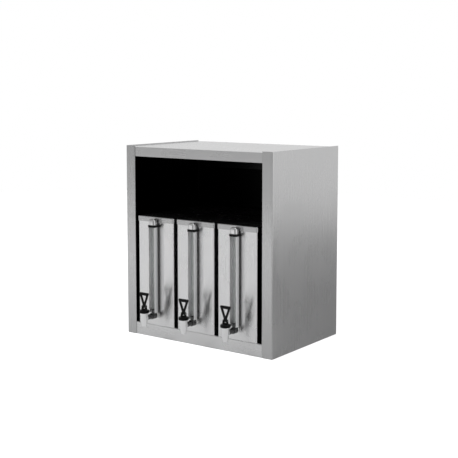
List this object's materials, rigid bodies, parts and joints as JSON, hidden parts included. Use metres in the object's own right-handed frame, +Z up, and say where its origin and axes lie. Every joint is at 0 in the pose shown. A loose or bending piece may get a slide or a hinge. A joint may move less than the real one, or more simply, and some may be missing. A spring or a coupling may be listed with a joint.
{
  "type": "wall cabinet with drink tanks",
  "caption": "Open-fronted stainless steel wall cabinet that holds lidded drink tanks side by side, each with a sight gauge and a spring-closed lever tap.",
  "frame": {"origin": "on the wall plane, midway between the upper ends of the two keyhole slots in the back panel", "axes": "+Y into the wall, so the open front faces -Y; +Z up; +X to the right seen from the front"},
  "size_m": [0.6, 0.481, 0.65],
  "materials": {
    "brushed_steel": "vertical brushed grain, satin",
    "shaded_steel": null,
    "tank_steel": "fine brushed, semi-bright",
    "polished_metal": "polished",
    "black_plastic": "moulded, satin",
    "silicone": "matt",
    "gauge_glass": "clear tube"
  },
  "bodies": {
    "cabinet": {"left_side_panel": "brushed_steel", "right_side_panel": "brushed_steel", "top_panel": "brushed_steel", "floor_panel": "brushed_steel", "back_panel": "shaded_steel", "hanger_rail": "brushed_steel", "floor_stiffener": "brushed_steel"},
    "tank_left": {"tank_shell_left": "tank_steel", "tank_shank_left": "polished_metal", "shank_seal_left": "silicone", "shank_nut_left": "polished_metal", "gauge_tee_left": "polished_metal", "gauge_glass_left": "gauge_glass", "gauge_seal_left": "black_plastic", "gauge_guard_left": "polished_metal", "gauge_cap_left": "polished_metal", "gauge_clip_left": "black_plastic", "tap_body_left": "polished_metal", "tap_bonnet_left": "black_plastic", "lever_pin_left": "polished_metal"},
    "lid_left": {"tank_lid_left": "tank_steel"},
    "lever_left": {"tap_lever_left": "black_plastic"},
    "stem_left": {"valve_stem_left": "polished_metal", "seat_cup_left": "silicone"},
    "tank_middle": {"tank_shell_middle": "tank_steel", "tank_shank_middle": "polished_metal", "shank_seal_middle": "silicone", "shank_nut_middle": "polished_metal", "gauge_tee_middle": "polished_metal", "gauge_glass_middle": "gauge_glass", "gauge_seal_middle": "black_plastic", "gauge_guard_middle": "polished_metal", "gauge_cap_middle": "polished_metal", "gauge_clip_middle": "black_plastic", "tap_body_middle": "polished_metal", "tap_bonnet_middle": "black_plastic", "lever_pin_middle": "polished_metal"},
    "lid_middle": {"tank_lid_middle": "tank_steel"},
    "lever_middle": {"tap_lever_middle": "black_plastic"},
    "stem_middle": {"valve_stem_middle": "polished_metal", "seat_cup_middle": "silicone"},
    "tank_right": {"tank_shell_right": "tank_steel", "tank_shank_right": "polished_metal", "shank_seal_right": "silicone", "shank_nut_right": "polished_metal", "gauge_tee_right": "polished_metal", "gauge_glass_right": "gauge_glass", "gauge_seal_right": "black_plastic", "gauge_guard_right": "polished_metal", "gauge_cap_right": "polished_metal", "gauge_clip_right": "black_plastic", "tap_body_right": "polished_metal", "tap_bonnet_right": "black_plastic", "lever_pin_right": "polished_metal"},
    "lid_right": {"tank_lid_right": "tank_steel"},
    "lever_right": {"tap_lever_right": "black_plastic"},
    "stem_right": {"valve_stem_right": "polished_metal", "seat_cup_right": "silicone"}
  },
  "joints": [
    {"name": "tank_left_slide", "type": "slide", "parent": "cabinet", "child": "tank_left", "axis": [0, -1, 0], "range_m": [0, 0.17]},
    {"name": "lid_left_lift", "type": "slide", "parent": "tank_left", "child": "lid_left", "axis": [0, 0, 1], "range_m": [0, 0.12]},
    {"name": "lever_left_pull", "type": "hinge", "parent": "tank_left", "child": "lever_left", "pos_m": [-0.168, -0.465, -0.4859], "axis": [1, 0, 0], "range_deg": [0, 32], "stiffness_Nm_per_rad": 0.3, "springref_deg": -20.05},
    {"name": "stem_left_rise", "type": "slide", "parent": "tank_left", "child": "stem_left", "axis": [0, 0, 1], "range_m": [0, 0.004]},
    {"name": "tank_middle_slide", "type": "slide", "parent": "cabinet", "child": "tank_middle", "axis": [0, -1, 0], "range_m": [0, 0.17]},
    {"name": "lid_middle_lift", "type": "slide", "parent": "tank_middle", "child": "lid_middle", "axis": [0, 0, 1], "range_m": [0, 0.12]},
    {"name": "lever_middle_pull", "type": "hinge", "parent": "tank_middle", "child": "lever_middle", "pos_m": [0, -0.465, -0.4859], "axis": [1, 0, 0], "range_deg": [0, 32], "stiffness_Nm_per_rad": 0.3, "springref_deg": -20.05},
    {"name": "stem_middle_rise", "type": "slide", "parent": "tank_middle", "child": "stem_middle", "axis": [0, 0, 1], "range_m": [0, 0.004]},
    {"name": "tank_right_slide", "type": "slide", "parent": "cabinet", "child": "tank_right", "axis": [0, -1, 0], "range_m": [0, 0.17]},
    {"name": "lid_right_lift", "type": "slide", "parent": "tank_right", "child": "lid_right", "axis": [0, 0, 1], "range_m": [0, 0.12]},
    {"name": "lever_right_pull", "type": "hinge", "parent": "tank_right", "child": "lever_right", "pos_m": [0.168, -0.465, -0.4859], "axis": [1, 0, 0], "range_deg": [0, 32], "stiffness_Nm_per_rad": 0.3, "springref_deg": -20.05},
    {"name": "stem_right_rise", "type": "slide", "parent": "tank_right", "child": "stem_right", "axis": [0, 0, 1], "range_m": [0, 0.004]}
  ],
  "couplings": [
    {"joint": "stem_left_rise", "follows": "lever_left_pull", "m_per_rad": 0.007},
    {"joint": "stem_middle_rise", "follows": "lever_middle_pull", "m_per_rad": 0.007},
    {"joint": "stem_right_rise", "follows": "lever_right_pull", "m_per_rad": 0.007}
  ]
}
